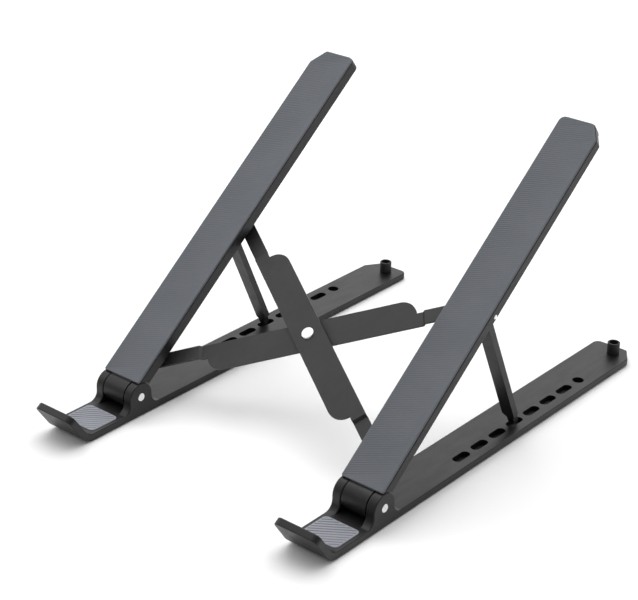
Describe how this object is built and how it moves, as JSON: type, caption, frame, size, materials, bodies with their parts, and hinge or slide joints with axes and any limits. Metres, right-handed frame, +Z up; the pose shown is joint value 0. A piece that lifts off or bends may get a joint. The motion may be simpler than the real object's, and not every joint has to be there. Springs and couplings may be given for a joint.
{
  "type": "laptop stand",
  "caption": "Folding laptop stand: hooked base bars, padded arms on friction hinges propped by struts in slots, joined by crossed brace plates.",
  "frame": {"origin": "on the surface the stand rests on, under the middle of its length and width", "axes": "+X across the stand to its right side, +Y from the hooks to the rear, +Z up"},
  "size_m": [0.1742, 0.256, 0.1426],
  "materials": {
    "base_metal": "dark grey anodised, fine satin",
    "arm_metal": "dark grey anodised, fine satin",
    "strut_metal": "dark grey anodised, fine satin",
    "plate_metal": "dark grey satin coat",
    "arm_rubber": "matte grey silicone, finely ribbed",
    "hook_rubber": "matte light grey silicone, finely ribbed",
    "foot_rubber": "matte dark rubber",
    "post_rubber": "matte black rubber",
    "pin_steel": "polished pin ends",
    "rivet_steel": "plain",
    "centre_steel": "polished",
    "washer_steel": "plain",
    "screw_steel": "plain",
    "washer_plastic": "black nylon"
  },
  "bodies": {
    "left_base": {"left_base_bar": "base_metal", "left_foot_pads": "foot_rubber", "left_hook_pad": "hook_rubber", "left_hinge_pin": "pin_steel", "left_hinge_washers": "washer_steel", "left_rest_post": "post_rubber", "left_post_screw": "screw_steel"},
    "left_arm": {"left_support_arm": "arm_metal", "left_arm_pad": "arm_rubber", "left_strut_pin": "pin_steel"},
    "left_strut": {"left_strut": "strut_metal"},
    "brace_b": {"brace_plate_lower": "plate_metal", "left_brace_pivot": "rivet_steel", "right_brace_slider": "rivet_steel"},
    "brace_a": {"brace_plate_upper": "plate_metal", "centre_rivet": "centre_steel", "centre_washer": "washer_plastic", "right_brace_pivot": "rivet_steel", "left_brace_slider": "rivet_steel"},
    "right_arm": {"right_support_arm": "arm_metal", "right_arm_pad": "arm_rubber", "right_strut_pin": "pin_steel"},
    "right_strut": {"right_strut": "strut_metal"},
    "right_base": {"right_base_bar": "base_metal", "right_foot_pads": "foot_rubber", "right_hook_pad": "hook_rubber", "right_hinge_pin": "pin_steel", "right_hinge_washers": "washer_steel", "right_rest_post": "post_rubber", "right_post_screw": "screw_steel"}
  },
  "joints": [
    {"name": "stand_tilt", "type": "hinge", "parent": "left_base", "child": "left_arm", "pos_m": [-0.07485, -0.08139, 0.0104], "axis": [1, 0, 0], "range_deg": [-33.5, 6.6]},
    {"name": "brace_fold", "type": "hinge", "parent": "left_arm", "child": "brace_b", "pos_m": [-0.068, -0.0627, 0.0209], "axis": [0, -0.6143, 0.7891], "range_deg": [0, 54.2]},
    {"name": "brace_cross", "type": "hinge", "parent": "brace_b", "child": "brace_a", "pos_m": [0, -0.03071, 0.0458], "axis": [0, -0.6143, 0.7891], "range_deg": [-108.4, 0]},
    {"name": "right_arm_swing", "type": "hinge", "parent": "brace_a", "child": "right_arm", "pos_m": [0.068, -0.0627, 0.0209], "axis": [0, -0.6143, 0.7891], "range_deg": [0, 54.2]},
    {"name": "right_tilt", "type": "hinge", "parent": "right_arm", "child": "right_base", "pos_m": [0.07485, -0.08139, 0.0104], "axis": [1, 0, 0], "range_deg": [-6.6, 33.5]},
    {"name": "left_strut_swing", "type": "hinge", "parent": "left_arm", "child": "left_strut", "pos_m": [-0.07485, -0.00439, 0.07427], "axis": [1, 0, 0], "range_deg": [-20.46, 103.85]},
    {"name": "right_strut_swing", "type": "hinge", "parent": "right_arm", "child": "right_strut", "pos_m": [0.07485, -0.00439, 0.07427], "axis": [1, 0, 0], "range_deg": [-20.46, 103.85]}
  ],
  "couplings": [
    {"joint": "brace_cross", "follows": "brace_fold", "ratio": -2},
    {"joint": "right_arm_swing", "follows": "brace_fold", "ratio": 1},
    {"joint": "right_tilt", "follows": "stand_tilt", "ratio": -1},
    {"joint": "left_strut_swing", "follows": "stand_tilt", "ratio": -3.1},
    {"joint": "right_strut_swing", "follows": "stand_tilt", "ratio": -3.1}
  ]
}
